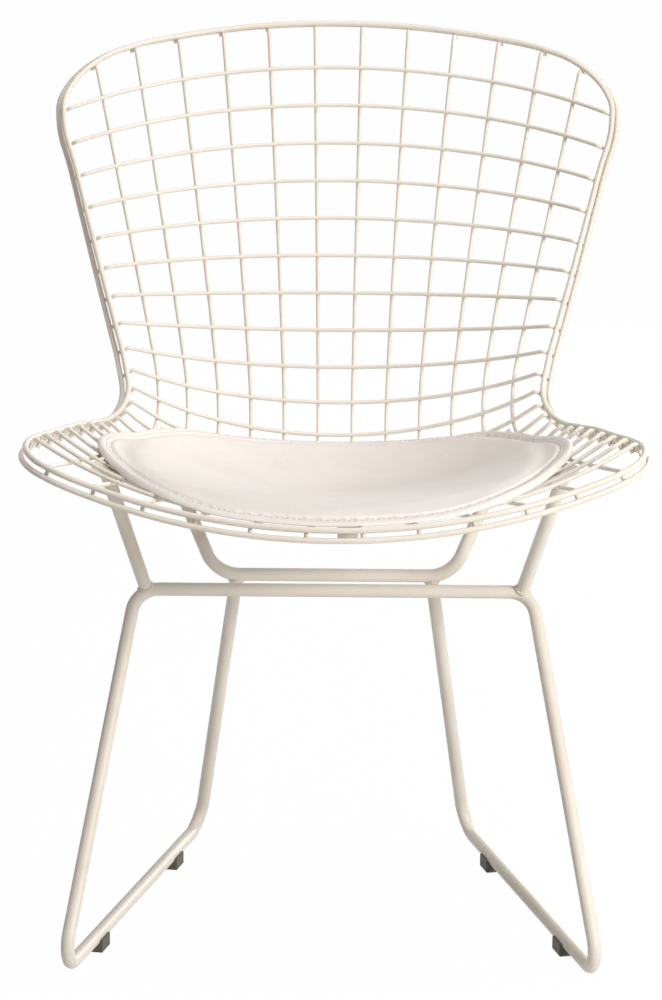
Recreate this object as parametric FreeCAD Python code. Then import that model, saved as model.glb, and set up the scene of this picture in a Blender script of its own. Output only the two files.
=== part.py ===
import FreeCAD, Part
import math
import os

# Wire mesh side chair, in millimetres: a shell of crossing wires on a base of bent rod, with a seat pad.
# The chair faces -Y. Left and right are as seen from the front, so left is -X. The floor is at Z 0.

Vector = FreeCAD.Vector

# Stock
mesh_wire_diameter = 3.6
rim_wire_diameter = 5.0
rod_diameter = 12.0
weld_sink = 0.3

# Centre line of the shell in side view: seat, bend behind the seat, back
shell_front_height = 431.0
shell_length = 836.0
seat_slope = 12.2
seat_straight = 258.0
bend_radius = 195.0
back_rise = 66.8
back_radius = 1600.0

# Half width of the shell, which is least at the waist and flares to the front and to the top
waist_half_width = 183.0
waist_distance = 432.0
waist_blend = 68.0
seat_flare = 0.228
back_flare = 0.217

# Every cross wire is one arc in a plane that leans more and more from the front of the seat to the top
cross_wire_half_turn = 45.0
lean_middle = 109.4
lean_swing = 68.5
lean_distance = 371.0
lean_run = 200.0
lean_drift = 0.049

# Mesh
back_wire_count = 11
seat_wire_count = 11
lengthwise_per_side = 6
top_cell = 38.5
front_cell = 44.5

# Outline of the shell, on which the two rims lie
top_corner_share = 0.31
top_corner_drop = 47.0
front_corner_share = 0.17
front_corner_run = 98.0
front_bow = 22.0

# Bent ends of the wires and the rims welded outside them
wire_end_bend = 3.0
wire_end_depth = 14.0
inner_rim_depth = 4.5
rim_spacing = 8.5

# Base of bent rod
runner_height = 12.5
front_foot_half_width = 233.0
rear_foot_half_width = 129.0
front_foot_setback = 78.0
runner_length = 434.0
crossbar_height = 310.0
front_crossbar_half_width = 177.0
front_crossbar_setback = 186.0
crossbar_gap = 58.0
yoke_half_width = 107.5
rear_leg_inset = 19.0
front_post_inset = 9.0
foot_bend = 20.0
front_crossbar_bend = 24.0
yoke_bend = 32.0

# Plates and screws that hold the shell on the base
front_saddle_wire_number = 8
front_saddle_cell_number = 5
front_post_offset = 4.4
rear_saddle_wire_number = 2
rear_saddle_cell_number = 5
rear_post_offset = -8.2
saddle_outboard_reach = 13.0
front_saddle_inboard_reach = 13.0
rear_saddle_inboard_reach = 20.0
saddle_thickness = 7.0
clamp_width = 13.0
clamp_thickness = 2.5
plate_margin = 4.5
plate_groove = 0.8
screw_offset = 8.6
screw_diameter = 5.0
screw_hole_clearance = 0.25
screw_head_diameter = 9.5
screw_head_height = 3.0
socket_width = 3.0
socket_depth = 1.8

# Plastic glides on the runners
glide_length = 24.0
glide_wall = 2.2
glide_rod_cover = 5.5
glide_front_inset = 104.0
glide_rear_inset = 96.0
glide_corner = 1.5

# Seat pad
pad_border_thickness = 5.0
pad_crown = 14.0
pad_side_bulge = 1.2
pocket_clearance = 0.5

# Straps and press studs of the pad
strap_width = 17.0
strap_thickness = 1.2
strap_length = 30.0
strap_clearance = 0.2
strap_corner = 4.0
front_strap_gap = 0.8
front_strap_height = 15.0
rear_strap_cell_number = 3
rear_strap_wire_number = 1
rear_strap_height = 9.0
stud_diameter = 11.0
stud_height = 2.2
stud_rounding = 1.3

mesh_wire_radius = mesh_wire_diameter / 2
rim_wire_radius = rim_wire_diameter / 2
rod_radius = rod_diameter / 2
half_turn = math.radians(cross_wire_half_turn)
wire_count = back_wire_count + seat_wire_count
middle_cell = (shell_length - top_cell - front_cell) / (wire_count - 1)
outer_rim_depth = inner_rim_depth + rim_spacing
rim_offset = mesh_wire_radius + rim_wire_radius - weld_sink
lengthwise_depth = mesh_wire_diameter - weld_sink


# Shape of the shell. A place on it is a share of the half width, -1 to 1, and a distance from the front.

def centre_line(distance):
    """Point of the centre line and its rise in radians."""
    start_rise = -math.radians(seat_slope)
    end_rise = math.radians(back_rise)
    bend_length = (end_rise - start_rise) * bend_radius
    straight = min(distance, seat_straight)
    y = straight * math.cos(start_rise)
    z = shell_front_height + straight * math.sin(start_rise)
    rise = start_rise
    if distance > seat_straight:
        turned = min(distance - seat_straight, bend_length) / bend_radius
        y += bend_radius * (math.sin(rise + turned) - math.sin(rise))
        z -= bend_radius * (math.cos(rise + turned) - math.cos(rise))
        rise += turned
    if distance > seat_straight + bend_length:
        turned = (distance - seat_straight - bend_length) / back_radius
        y += back_radius * (math.sin(rise + turned) - math.sin(rise))
        z -= back_radius * (math.cos(rise + turned) - math.cos(rise))
        rise += turned
    return Vector(0, y, z)


def half_width(distance):
    """Half the chord of the shell, two straight flares blended at the waist."""
    def ramp(run):
        return (run + math.hypot(run, waist_blend) - waist_blend) / 2
    to_front = seat_flare * ramp(waist_distance - distance)
    to_top = back_flare * ramp(distance - waist_distance)
    return waist_half_width + to_front + to_top


def arc_radius(distance):
    return half_width(distance) / math.sin(half_turn)


def inward(distance):
    """Direction from the middle of a cross wire to the centre of its arc."""
    past = distance - lean_distance
    lean = math.radians(lean_middle + lean_swing * math.tanh(past / lean_run) + lean_drift * past)
    return Vector(0, math.cos(lean), math.sin(lean))


def on_shell(share, distance):
    radius = arc_radius(distance)
    angle = share * half_turn
    rise = inward(distance) * (radius * (1 - math.cos(angle)))
    return centre_line(distance) + rise + Vector(radius * math.sin(angle), 0, 0)


def unit(vector):
    return vector * (1 / vector.Length)


def square_to(vector, axis):
    """The part of a vector that is square to a unit axis, as a unit vector."""
    return unit(vector - axis * vector.dot(axis))


def across(share, distance):
    step = 0.0005
    return unit(on_shell(share + step, distance) - on_shell(share - step, distance))


def along(share, distance):
    step = 0.1
    return unit(on_shell(share, distance + step) - on_shell(share, distance - step))


def toward_sitter(share, distance):
    """Normal of the shell on the side that is sat on."""
    return unit(across(share, distance).cross(along(share, distance)))


def lifted(share, distance, height):
    return on_shell(share, distance) + toward_sitter(share, distance) * height


def corner_fall(share, corner_share, fall):
    """How far a rounded corner has come back from its edge at a share of the half width."""
    past = max(0.0, (abs(share) - 1 + corner_share) / corner_share)
    return fall * (1 - math.sqrt(max(0.0, 1 - past * past)))


def front_edge(share):
    return corner_fall(share, front_corner_share, front_corner_run) - front_bow * share * share


def top_edge(share):
    return shell_length - corner_fall(share, top_corner_share, top_corner_drop)


def end_share(distance):
    """Share of the half width at which the outline crosses a cross wire."""
    if front_edge(1) < distance < top_edge(1):
        return 1.0
    low = 0.5
    high = 1.0
    for _ in range(40):
        middle = (low + high) / 2
        if front_edge(middle) < distance < top_edge(middle):
            low = middle
        else:
            high = middle
    return low


def outline():
    """Places round the edge of the shell, from the front middle up the right side and down the left."""
    right = []
    for step in range(5):
        share = (1 - front_corner_share) * step / 5
        right.append((share, front_edge(share)))
    for step in range(5):
        share = 1 - front_corner_share * (1 - math.sin(math.radians(18 * step)))
        right.append((share, front_edge(share)))
    side_steps = 12
    for step in range(side_steps + 1):
        distance = front_edge(1) + (top_edge(1) - front_edge(1)) * step / side_steps
        right.append((1.0, distance))
    for step in range(1, 5):
        share = 1 - top_corner_share * (1 - math.cos(math.radians(18 * step)))
        right.append((share, top_edge(share)))
    for step in range(4):
        share = (1 - top_corner_share) * (4 - step) / 4
        right.append((share, top_edge(share)))
    left = []
    for share, distance in reversed(right[1:]):
        left.append((-share, distance))
    return right + [(0.0, top_edge(0))] + left


def cross_wire_distance(number):
    """Distance of a cross wire along the centre line, counted from 0 at the top."""
    return shell_length - top_cell - middle_cell * number


def lengthwise_share(number):
    """Share of the half width at which a lengthwise wire runs, counted from 1 at the middle."""
    return (2 * number - 1) / (2 * lengthwise_per_side + 1)


# Paths. A span is two points for a line, or three for an arc.

def reverse_spans(spans):
    return [tuple(reversed(span)) for span in reversed(spans)]


def arc_span(start, tangent, end):
    """Span that leaves start along a unit tangent and reaches end."""
    chord = end - start
    sideways = chord - tangent * chord.dot(tangent)
    if sideways.Length < 1e-6 * chord.Length:
        return (start, end)
    side = unit(sideways)
    half_angle = math.atan2(chord.dot(side), chord.dot(tangent))
    radius = chord.Length / (2 * math.sin(half_angle))
    middle = start + tangent * (radius * math.sin(half_angle)) + side * (radius * (1 - math.cos(half_angle)))
    return (start, middle, end)


def arc_pair(start, start_tangent, end, end_tangent):
    """Two arcs tangent to each other, from one point and direction to another."""
    chord = end - start
    both = start_tangent + end_tangent
    bend = 2 * (1 - start_tangent.dot(end_tangent))
    reach = chord.dot(both)
    if bend < 1e-9:
        handle = chord.dot(chord) / (2 * reach)
    else:
        handle = (math.sqrt(reach * reach + bend * chord.dot(chord)) - reach) / bend
    joint = (start + start_tangent * handle + end - end_tangent * handle) * 0.5
    second = arc_span(end, end_tangent * -1, joint)
    return [arc_span(start, start_tangent, joint)] + reverse_spans([second])


def tangent_through(before, point, after):
    arriving = point - before
    leaving = after - point
    return unit(arriving * (1 / arriving.dot(arriving)) + leaving * (1 / leaving.dot(leaving)))


def smooth_spans(points, start_tangent, end_tangent):
    tangents = [start_tangent]
    for before, point, after in zip(points, points[1:], points[2:]):
        tangents.append(tangent_through(before, point, after))
    tangents.append(end_tangent)
    spans = []
    for index in range(len(points) - 1):
        spans += arc_pair(points[index], tangents[index], points[index + 1], tangents[index + 1])
    return spans


def closed_spans(points):
    tangent = tangent_through(points[-1], points[0], points[1])
    return smooth_spans(points + points[:1], tangent, tangent)


def turned_spans(start, tangent, direction, depth):
    """End of a wire: a bend from its tangent toward a direction, then a straight piece to a depth."""
    turn = square_to(direction, tangent)
    diagonal = math.sqrt(0.5)
    middle = start + tangent * (wire_end_bend * diagonal) + turn * (wire_end_bend * (1 - diagonal))
    corner = start + tangent * wire_end_bend + turn * wire_end_bend
    return [(start, middle, corner), (corner, start + tangent * wire_end_bend + turn * depth)]


def bent_spans(corners, radii):
    """Straight runs through corner points, joined by tangent arcs."""
    spans = []
    start = corners[0]
    for before, corner, after, radius in zip(corners, corners[1:], corners[2:], radii):
        arriving = unit(corner - before)
        leaving = unit(after - corner)
        half_angle = arriving.getAngle(leaving) / 2
        cut = radius * math.tan(half_angle)
        inside = unit(leaving - arriving)
        nearest = corner + inside * (radius / math.cos(half_angle) - radius)
        spans.append((start, corner - arriving * cut))
        spans.append((corner - arriving * cut, nearest, corner + leaving * cut))
        start = corner + leaving * cut
    spans.append((start, corners[-1]))
    return spans


def span_edges(spans):
    edges = []
    for span in spans:
        curve = Part.Arc(*span) if len(span) == 3 else Part.LineSegment(*span)
        edges.append(curve.toShape())
    return edges


def tube(spans, diameter):
    edges = span_edges(spans)
    first = edges[0]
    circle = Part.makeCircle(diameter / 2, spans[0][0], first.tangentAt(first.FirstParameter))
    return Part.Wire(edges).makePipeShell([Part.Wire(circle)], True, False)


# Shell

def cross_wire(number):
    distance = cross_wire_distance(number)
    radius = arc_radius(distance)
    centre = centre_line(distance) + inward(distance) * radius
    share = end_share(distance)
    angle = share * half_turn - wire_end_bend / radius

    def point(turn):
        return centre + Vector(radius * math.sin(turn), 0, 0) - inward(distance) * (radius * math.cos(turn))

    ends = []
    for side in (-1, 1):
        tangent = Vector(side * math.cos(angle), 0, 0) + inward(distance) * math.sin(angle)
        behind = toward_sitter(side * share, distance) * -1
        ends.append(turned_spans(point(side * angle), tangent, behind, wire_end_depth))
    middle = [(point(-angle), point(0), point(angle))]
    return tube(reverse_spans(ends[0]) + middle + ends[1], mesh_wire_diameter)


def lengthwise_wire(share):
    """A wire that runs behind the cross wires from the front edge to the top edge."""
    start = front_edge(share) + wire_end_bend
    end = top_edge(share) - wire_end_bend
    distances = [start]
    for number in range(wire_count - 1, -1, -2):
        distances.append(cross_wire_distance(number))
    distances.append(end)
    points = [lifted(share, distance, -lengthwise_depth) for distance in distances]
    leaving_front = along(share, start)
    reaching_top = along(share, end)
    spans = smooth_spans(points, leaving_front, reaching_top)
    depth = wire_end_depth - lengthwise_depth
    front = turned_spans(points[0], leaving_front * -1, toward_sitter(share, start) * -1, depth)
    top = turned_spans(points[-1], reaching_top, toward_sitter(share, end) * -1, depth)
    return tube(reverse_spans(front) + spans + top, mesh_wire_diameter)


def rim(depth):
    """Closed wire round the outline, outside the bent wire ends and behind the shell by a depth."""
    places = outline()
    edge = [on_shell(share, distance) for share, distance in places]
    points = []
    for index, (share, distance) in enumerate(places):
        following = edge[(index + 1) % len(edge)]
        tangent = tangent_through(edge[index - 1], edge[index], following)
        normal = toward_sitter(share, distance)
        outward = unit(tangent.cross(normal))
        points.append(edge[index] + outward * rim_offset - normal * depth)
    return tube(closed_spans(points), rim_wire_diameter)


# Base

def mirrored(point):
    return Vector(-point.x, point.y, point.z)


front_foot = Vector(-front_foot_half_width, front_foot_setback, runner_height)
rear_foot = Vector(-rear_foot_half_width, front_foot_setback + runner_length, runner_height)
front_corner = Vector(-front_crossbar_half_width, front_foot.y + front_crossbar_setback, crossbar_height)
yoke_corner = Vector(-yoke_half_width, front_corner.y + crossbar_gap, crossbar_height)
rear_leg_top = yoke_corner + Vector(rear_leg_inset, 0, 0)
front_post_foot = front_corner + Vector(front_post_inset, 0, 0)


def cell_share(cell):
    """Share at the middle of a cell, counted by the lengthwise wire on its inboard side."""
    return (lengthwise_share(cell) + lengthwise_share(cell + 1)) / 2


def saddle_frame(place, side):
    """Middle of the cell above a post and its axes: outboard, along the shell, toward the sitter."""
    wire_number, cell = saddle_cells[place]
    share = side * cell_share(cell)
    number = back_wire_count + wire_number
    ahead = on_shell(share, cross_wire_distance(number))
    behind = on_shell(share, cross_wire_distance(number - 1))
    length_axis = unit(behind - ahead)
    outboard = square_to(across(share, cross_wire_distance(number)) * side, length_axis)
    normal = length_axis.cross(outboard) * -side
    return (ahead + behind) * 0.5, outboard, length_axis, normal


def placed_box(frame, size, offset):
    """Box in a saddle's axes: outboard and along sizes about an offset, and its low and high faces."""
    middle, outboard, length_axis, normal = frame
    width, length = size
    shift, low, high = offset
    corner = middle + outboard * (shift - width / 2) - length_axis * (length / 2) + normal * low
    points = [corner, corner + outboard * width, corner + outboard * width + length_axis * length]
    points += [corner + length_axis * length, corner]
    return Part.Face(Part.makePolygon(points)).extrude(normal * (high - low))


saddle_cells = {
    "front": (front_saddle_wire_number, front_saddle_cell_number),
    "rear": (rear_saddle_wire_number, rear_saddle_cell_number),
}
post_offsets = {"front": front_post_offset, "rear": rear_post_offset}
saddle_inboard_reaches = {"front": front_saddle_inboard_reach, "rear": rear_saddle_inboard_reach}
plate_length = middle_cell + 2 * plate_margin
saddle_top = plate_groove - mesh_wire_radius
saddle_bottom = saddle_top - saddle_thickness
clamp_bottom = -saddle_top
clamp_top = clamp_bottom + clamp_thickness


def post_top(place, side):
    """Centre of a post's end on the underside of its saddle."""
    middle, outboard, _, normal = saddle_frame(place, side)
    return middle + outboard * post_offsets[place] + normal * saddle_bottom


def above_saddle(place, side):
    """Block that cuts a post off flush with the underside of its saddle."""
    size = (6 * rod_diameter, 6 * rod_diameter)
    return placed_box(saddle_frame(place, side), size, (0, saddle_bottom, saddle_bottom + 2 * rod_diameter))


def past(start, end, length):
    return end + unit(end - start) * length


def sled_frame(yoke):
    """One rod: rear leg, floor runner, front leg and front crossbar, and the same again on the right."""
    corners = [rear_leg_top, rear_foot, front_foot, front_corner]
    corners += [mirrored(corner) for corner in reversed(corners)]
    radii = [foot_bend, foot_bend, front_crossbar_bend, front_crossbar_bend, foot_bend, foot_bend]
    return tube(bent_spans(corners, radii), rod_diameter).cut(yoke)


def rear_yoke():
    """One rod: the rear crossbar and the two rear posts, cut off flush under their saddles."""
    left_top = past(yoke_corner, post_top("rear", -1), rod_diameter)
    corners = [left_top, yoke_corner, mirrored(yoke_corner), mirrored(left_top)]
    rod = tube(bent_spans(corners, [yoke_bend, yoke_bend]), rod_diameter)
    for side in (-1, 1):
        rod = rod.cut(above_saddle("rear", side))
    return rod


def front_post(side, sled):
    """Straight rod, coped on the sled frame and cut off flush under its saddle."""
    foot = front_post_foot if side < 0 else mirrored(front_post_foot)
    top = post_top("front", side)
    rod = tube([(foot, past(foot, top, rod_diameter))], rod_diameter)
    rod = rod.cut(above_saddle("front", side)).cut(sled)
    return max(rod.Solids, key=lambda solid: solid.Volume)


def glide(side, setback):
    """Plastic block clipped on a runner from below: its bore is the rod, its base is the foot."""
    runner = rear_foot - front_foot
    middle = front_foot + runner * (setback / runner_length)
    width = rod_diameter + 2 * glide_wall
    height = runner_height - rod_radius + glide_rod_cover
    block = Part.makeBox(width, glide_length, height, Vector(-width / 2, -glide_length / 2, 0))
    boxes = [(edge, edge.BoundBox) for edge in block.Edges]
    rounded = [edge for edge, box in boxes if abs(box.ZMax) < 1e-6 or box.ZLength > 1]
    block = block.makeFillet(glide_corner, rounded)
    turn = math.degrees(math.atan2(-runner.x, runner.y))
    block.rotate(Vector(0, 0, 0), Vector(0, 0, 1), turn)
    block.translate(Vector(middle.x, middle.y, 0))
    rod = tube([(front_foot, rear_foot)], rod_diameter)
    block = block.cut(rod)
    return block if side < 0 else block.mirror(Vector(0, 0, 0), Vector(1, 0, 0))


# Plates and screws between base and shell

def screw_shift(place):
    """How far outboard a screw is, on the other side of the saddle's middle from its post."""
    return -math.copysign(screw_offset, post_offsets[place])


def screw_point(place, side, height):
    middle, outboard, _, normal = saddle_frame(place, side)
    return middle + outboard * screw_shift(place) + normal * height


def gripping_plate(place, side, width, offset, hole_diameter, wires):
    """Plate with an outboard shift and two heights, drilled for its screw and grooved for its wires."""
    frame = saddle_frame(place, side)
    _, low, high = offset
    plate = placed_box(frame, (width, plate_length), offset)
    drill_start = screw_point(place, side, low - 1)
    plate = plate.cut(Part.makeCylinder(hole_diameter / 2, high - low + 2, drill_start, frame[3]))
    for wire in wires:
        plate = plate.cut(wire)
    return plate


def saddle(place, side, wires):
    inboard_reach = saddle_inboard_reaches[place]
    width = inboard_reach + saddle_outboard_reach
    offset = ((saddle_outboard_reach - inboard_reach) / 2, saddle_bottom, saddle_top)
    hole_diameter = screw_diameter + 2 * screw_hole_clearance
    return gripping_plate(place, side, width, offset, hole_diameter, wires)


def clamp_shift(place):
    """How far outboard a clamp plate's middle is."""
    return math.copysign(saddle_outboard_reach - clamp_width / 2, screw_shift(place))


def clamp_plate(place, side, wires):
    offset = (clamp_shift(place), clamp_bottom, clamp_top)
    return gripping_plate(place, side, clamp_width, offset, screw_diameter, wires)


def clamp_screw(place, side):
    """Low round head screw put in from below, flush with the top of the clamp plate."""
    _, outboard, _, normal = saddle_frame(place, side)
    head_top = screw_point(place, side, saddle_bottom)
    head_base = head_top - normal * screw_head_height
    shank = Part.makeCylinder(screw_diameter / 2, clamp_top - saddle_bottom, head_top, normal)
    head = Part.makeCylinder(screw_head_diameter / 2, screw_head_height, head_base, normal)
    socket_corner_radius = socket_width / 2 / math.cos(math.radians(30))
    sideways = normal.cross(outboard)
    corners = []
    for step in range(7):
        angle = math.radians(60 * step)
        spoke = outboard * math.cos(angle) + sideways * math.sin(angle)
        corners.append(head_base + spoke * socket_corner_radius)
    socket = Part.Face(Part.makePolygon(corners)).extrude(normal * socket_depth)
    return shank.fuse(head).removeSplitter().cut(socket)


# Seat pad and its straps

pad_stations = [
    # middle distance, side share, side distance, share of the crown, height above the wires' centres
    (10.0, 0.25, 12.0, 0.05, 0.5),
    (15.0, 0.39, 19.0, 0.20, 0.5),
    (32.0, 0.53, 37.0, 0.45, 2.6),
    (62.0, 0.655, 69.0, 0.72, 3.0),
    (108.0, 0.775, 112.0, 0.90, 3.0),
    (164.0, 0.862, 158.0, 1.00, 3.0),
    (232.0, 0.880, 228.0, 1.00, 3.0),
    (300.0, 0.875, 290.0, 0.95, 3.0),
    (357.0, 0.858, 336.0, 0.80, 3.0),
    (400.0, 0.805, 374.0, 0.50, 3.0),
    (420.0, 0.725, 399.0, 0.20, 3.0),
    (429.0, 0.61, 412.0, 0.05, 3.0),
]


def pad_section(station):
    """Closed flat section of the pad: two arcs for its faces and two short ones for its sides."""
    middle_distance, side_share, side_distance, crown_share, low_height = station
    chord = on_shell(side_share, side_distance) - on_shell(0, middle_distance)
    up = unit(Vector(0, chord.y, chord.z))

    def place(share, distance, height):
        return on_shell(share, distance) + up * (height / up.dot(toward_sitter(share, distance)))

    top_height = low_height + pad_border_thickness
    low_right = place(side_share, side_distance, low_height)
    high_right = place(side_share, side_distance, top_height)
    low_middle = place(0, middle_distance, low_height)
    high_middle = place(0, middle_distance, top_height + pad_crown * crown_share)
    right_middle = (low_right + high_right) * 0.5 + Vector(pad_side_bulge, 0, 0)
    low_left = mirrored(low_right)
    high_left = mirrored(high_right)
    edges = [
        Part.Arc(low_left, low_middle, low_right).toShape(),
        Part.Arc(low_right, right_middle, high_right).toShape(),
        Part.Arc(high_right, high_middle, high_left).toShape(),
        Part.Arc(high_left, mirrored(right_middle), low_left).toShape(),
    ]
    return Part.Wire(edges)


def seat_pad(straps):
    """Crowned pad with a thin border, recessed below for the straps and the clamp plates."""
    pad = Part.makeLoft([pad_section(station) for station in pad_stations], True, False)
    for strap in straps:
        pad = pad.cut(strap)
    pocket = (clamp_width + 2 * pocket_clearance, plate_length + 2 * pocket_clearance)
    for place in saddle_cells:
        offset = (clamp_shift(place), 0, clamp_top + pocket_clearance)
        for side in (-1, 1):
            pad = pad.cut(placed_box(saddle_frame(place, side), pocket, offset))
    return max(pad.Solids, key=lambda solid: solid.Volume)


def band(origin, run, rise, width_axis, size):
    """Closed flat band, seen along its width as a rectangle with rounded corners."""
    def loop(inset):
        low = inset
        far = size[0] - inset
        high = size[1] - inset
        points = [(low, low), (far, low), (far, high), (low, high)]
        corners = [origin + run * along_run + rise * up for along_run, up in points]
        start = (corners[3] + corners[0]) * 0.5
        radii = [strap_corner - inset] * 4
        spans = bent_spans([start] + corners + [start], radii)
        return Part.Face(Part.Wire(span_edges(spans)))

    sweep = width_axis * strap_width
    return loop(0).extrude(sweep).cut(loop(strap_thickness).extrude(sweep))


def strap_axes(share, distance):
    normal = toward_sitter(share, distance)
    run = along(share, distance)
    return run, normal, run.cross(normal)


strap_top = mesh_wire_radius + strap_clearance + strap_thickness
rear_strap_share = cell_share(rear_strap_cell_number)
rear_strap_distance = cross_wire_distance(back_wire_count + rear_strap_wire_number - 1)
front_strap_distance = cross_wire_distance(wire_count - 1)
front_strap_radius = arc_radius(front_strap_distance)
front_wire_place = front_strap_radius * math.sin(lengthwise_share(1) * half_turn)
front_strap_place = front_wire_place - mesh_wire_radius - front_strap_gap - strap_width / 2
front_strap_share = math.asin(front_strap_place / front_strap_radius) / half_turn


def pad_strap(share, distance, height):
    """Band round a cross wire, hanging from the underside of the pad."""
    run, normal, width_axis = strap_axes(share, distance)
    origin = on_shell(share, distance) - run * (strap_length / 2) + normal * (strap_top - height)
    origin = origin - width_axis * (strap_width / 2)
    return band(origin, run, normal, width_axis, (strap_length, height))


def stud(share, distance, strap_height):
    """Domed cap of a press stud on the underside of a strap."""
    _, normal, _ = strap_axes(share, distance)
    base = on_shell(share, distance) + normal * (strap_top - strap_height)
    cap = Part.makeCylinder(stud_diameter / 2, stud_height, base, normal * -1)
    circles = [edge for edge in cap.Edges if edge.Closed]
    outer_circle = max(circles, key=lambda edge: (edge.CenterOfMass - base).Length)
    return cap.makeFillet(stud_rounding, [outer_circle])


def strap_studs():
    studs = [stud(front_strap_share, front_strap_distance, front_strap_height)]
    for side in (-1, 1):
        studs.append(stud(side * rear_strap_share, rear_strap_distance, rear_strap_height))
    return studs


# Assembly

def side_name(side):
    return "left" if side < 0 else "right"


def build():
    nodes = {}
    wires = [cross_wire(number) for number in range(wire_count)]
    for number in range(back_wire_count):
        nodes["back_cross_wire_%02d" % (number + 1)] = wires[number]
    for number in range(seat_wire_count):
        nodes["seat_cross_wire_%02d" % (number + 1)] = wires[back_wire_count + number]
    for side in (-1, 1):
        for number in range(1, lengthwise_per_side + 1):
            name = "%s_lengthwise_wire_%d" % (side_name(side), number)
            nodes[name] = lengthwise_wire(side * lengthwise_share(number))
    nodes["inner_rim"] = rim(inner_rim_depth)
    nodes["outer_rim"] = rim(outer_rim_depth)

    nodes["rear_yoke"] = rear_yoke()
    nodes["sled_frame"] = sled_frame(nodes["rear_yoke"])
    screws = []
    for side in (-1, 1):
        name = side_name(side)
        nodes["front_post_" + name] = front_post(side, nodes["sled_frame"])
        nodes["glide_front_" + name] = glide(side, glide_front_inset)
        nodes["glide_rear_" + name] = glide(side, runner_length - glide_rear_inset)
        for place, (wire_number, _) in saddle_cells.items():
            number = back_wire_count + wire_number
            gripped = wires[number - 1:number + 1]
            passing = nodes["%s_lengthwise_wire_%d" % (name, rear_saddle_cell_number)]
            nodes["saddle_%s_%s" % (place, name)] = saddle(place, side, gripped + [passing])
            nodes["clamp_plate_%s_%s" % (place, name)] = clamp_plate(place, side, gripped)
            screws.append(clamp_screw(place, side))
    nodes["clamp_screws"] = Part.makeCompound(screws)

    straps = {"pad_strap_front": pad_strap(front_strap_share, front_strap_distance, front_strap_height)}
    for side in (-1, 1):
        strap = pad_strap(side * rear_strap_share, rear_strap_distance, rear_strap_height)
        straps["pad_strap_rear_" + side_name(side)] = strap
    nodes["seat_pad"] = seat_pad(straps.values())
    nodes.update(straps)
    nodes["strap_studs"] = Part.makeCompound(strap_studs())
    return nodes


def centred(nodes):
    """The whole chair, moved along Y so that the origin is under the middle of its box."""
    box = Part.makeCompound(list(nodes.values())).optimalBoundingBox(False, False)
    for shape in nodes.values():
        shape.translate(Vector(0, -(box.YMin + box.YMax) / 2, 0))
    return box


os.makedirs("parts", exist_ok=True)
chair = build()
chair_box = centred(chair)
for node_name, node_shape in chair.items():
    node_shape.exportStep("parts/%s.step" % node_name)
    print(node_name, len(node_shape.Solids), node_shape.isValid(), round(node_shape.Volume, 1))
print("overall", round(chair_box.XLength, 1), round(chair_box.YLength, 1), round(chair_box.ZLength, 1))
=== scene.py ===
"""Looks of a wire mesh chair: coated wires and rods, fittings, a strapped seat pad and a plain studio."""

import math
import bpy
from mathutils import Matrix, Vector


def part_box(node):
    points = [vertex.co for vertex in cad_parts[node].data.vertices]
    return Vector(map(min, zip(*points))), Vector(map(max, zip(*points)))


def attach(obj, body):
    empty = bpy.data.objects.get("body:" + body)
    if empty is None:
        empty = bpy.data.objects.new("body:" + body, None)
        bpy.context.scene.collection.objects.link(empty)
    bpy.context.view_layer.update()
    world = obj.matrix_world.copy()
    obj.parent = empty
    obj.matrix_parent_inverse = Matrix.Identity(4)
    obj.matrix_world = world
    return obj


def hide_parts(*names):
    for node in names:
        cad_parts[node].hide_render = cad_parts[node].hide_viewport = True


bl_info = {
    "name": "Wire mesh chair",
    "version": (1, 0, 0),
    "blender": (4, 5, 0),
    "location": "View3D > Sidebar > Chair",
    "description": "Finishes, seat pad and studio for the wire mesh chair",
    "category": "Object",
}

import bmesh
import bpy
from bpy.props import FloatProperty, FloatVectorProperty, IntProperty, PointerProperty
from mathutils import Matrix, Vector
from mathutils.bvhtree import BVHTree
from mathutils.kdtree import KDTree

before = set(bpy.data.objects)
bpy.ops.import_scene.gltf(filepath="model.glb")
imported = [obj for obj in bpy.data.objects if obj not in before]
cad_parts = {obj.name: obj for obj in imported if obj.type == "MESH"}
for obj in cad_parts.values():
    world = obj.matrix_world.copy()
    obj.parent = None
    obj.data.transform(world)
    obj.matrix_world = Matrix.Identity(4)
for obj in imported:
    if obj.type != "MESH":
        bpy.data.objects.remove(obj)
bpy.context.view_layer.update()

MM = 0.001


# Shader expressions

class Socket:
    """A shader socket whose arithmetic adds Math nodes."""

    def __init__(self, tree, socket):
        self.tree = tree
        self.socket = socket

    def math(self, operation, *others):
        node = self.tree.nodes.new("ShaderNodeMath")
        node.operation = operation
        for slot, value in zip(node.inputs, (self,) + others):
            put(self.tree, slot, value)
        return Socket(self.tree, node.outputs[0])

    def __add__(self, other):
        return self.math("ADD", other)

    def __sub__(self, other):
        return self.math("SUBTRACT", other)

    def __mul__(self, other):
        return self.math("MULTIPLY", other)

    __radd__ = __add__
    __rmul__ = __mul__

    def __rsub__(self, other):
        return (self * -1) + other

    def clamped(self):
        return self.math("MAXIMUM", 0.0).math("MINIMUM", 1.0)


def put(tree, slot, value):
    """Links a socket to an input, or writes a plain value into it."""
    if isinstance(value, Socket):
        tree.links.new(value.socket, slot)
    else:
        slot.default_value = value


class Nodes:
    """A shader tree under construction."""

    def __init__(self, tree):
        self.tree = tree

    def add(self, kind, settings, inputs, output=0):
        """Adds a node. Its settings come first, then values or links for its inputs, by name or number."""
        made = self.tree.nodes.new(kind)
        for name, value in settings.items():
            setattr(made, name, value)
        self.fill(made, inputs)
        return Socket(self.tree, made.outputs[output])

    def fill(self, made, inputs):
        for key, value in inputs.items():
            put(self.tree, made.inputs[key], value)


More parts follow.
